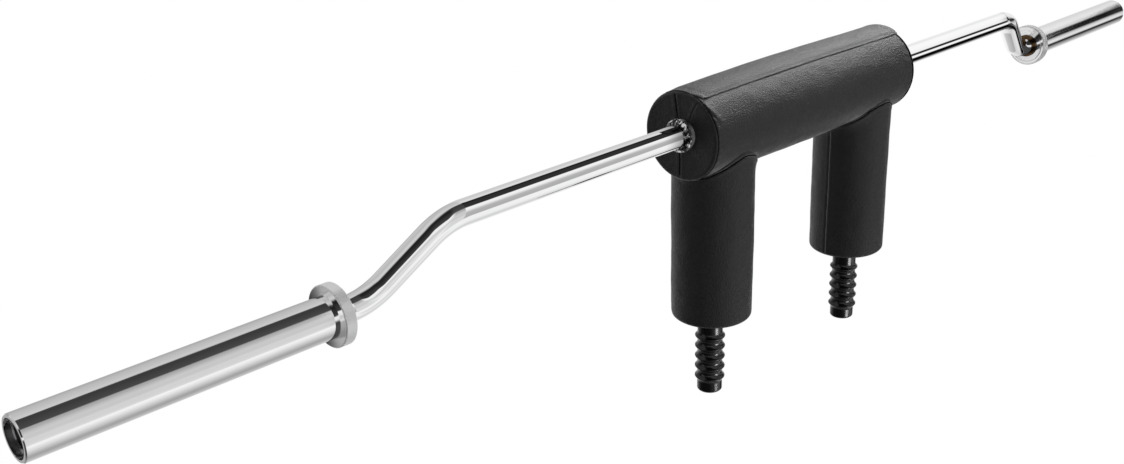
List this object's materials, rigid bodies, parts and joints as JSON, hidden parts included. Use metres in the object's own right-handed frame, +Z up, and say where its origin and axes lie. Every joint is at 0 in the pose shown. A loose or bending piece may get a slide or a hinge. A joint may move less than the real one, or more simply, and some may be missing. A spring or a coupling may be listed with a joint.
{
  "type": "safety squat bar",
  "caption": "Cambered steel squat bar with a padded shoulder roll, padded arms with ribbed hand grips, and turning sleeves with collars for plates.",
  "frame": {"origin": "on the straight shaft's axis at mid-length, where the pair of rack hooks under it is centred", "axes": "+X along the bar, +Z up with the handles hanging down, +Y to the side that the sleeves are offset to"},
  "size_m": [2.29, 0.1306, 0.4749],
  "materials": {
    "chrome": "polished hard chrome",
    "sleeve_chrome": "turned, satin chrome",
    "bare_steel": "mill finish, hidden",
    "spring_steel": "oiled black spring steel",
    "bronze": "sintered bronze",
    "grip_rubber": "glossy moulded rubber",
    "vinyl": "fine-grained black vinyl",
    "foam": "closed-cell foam, hidden",
    "tape": "black hook and loop tape",
    "cap_black": "satin black"
  },
  "bodies": {
    "frame": {"shaft": "chrome", "yoke_tube": "bare_steel", "roll_foam": "foam", "roll_cover": "vinyl", "closure_flap": "vinyl", "hook_tape": "tape", "loop_tape": "tape", "left_yoke_weld": "chrome", "right_yoke_weld": "chrome", "left_handle_tube": "bare_steel", "right_handle_tube": "bare_steel", "left_handle_weld": "bare_steel", "right_handle_weld": "bare_steel", "left_grip": "grip_rubber", "right_grip": "grip_rubber", "left_end_panel": "vinyl", "right_end_panel": "vinyl", "left_arm_foam": "foam", "right_arm_foam": "foam", "left_arm_cover": "vinyl", "right_arm_cover": "vinyl", "left_arm_panel": "vinyl", "right_arm_panel": "vinyl", "left_thrust_washer": "bare_steel", "right_thrust_washer": "bare_steel", "left_spindle_ring": "spring_steel", "right_spindle_ring": "spring_steel"},
    "left_sleeve_assembly": {"left_sleeve": "sleeve_chrome", "left_collar": "sleeve_chrome", "left_inner_bushing": "bronze", "left_outer_bushing": "bronze", "left_end_cap": "cap_black", "left_cap_ring": "spring_steel"},
    "right_sleeve_assembly": {"right_sleeve": "sleeve_chrome", "right_collar": "sleeve_chrome", "right_inner_bushing": "bronze", "right_outer_bushing": "bronze", "right_end_cap": "cap_black", "right_cap_ring": "spring_steel"}
  },
  "joints": [
    {"name": "left_sleeve_spin", "type": "hinge", "parent": "frame", "child": "left_sleeve_assembly", "pos_m": [-0.78202, 0.02586, -0.07729], "axis": [1, 0, 0], "continuous": true},
    {"name": "right_sleeve_spin", "type": "hinge", "parent": "frame", "child": "right_sleeve_assembly", "pos_m": [0.78202, 0.02586, -0.07729], "axis": [1, 0, 0], "continuous": true}
  ]
}
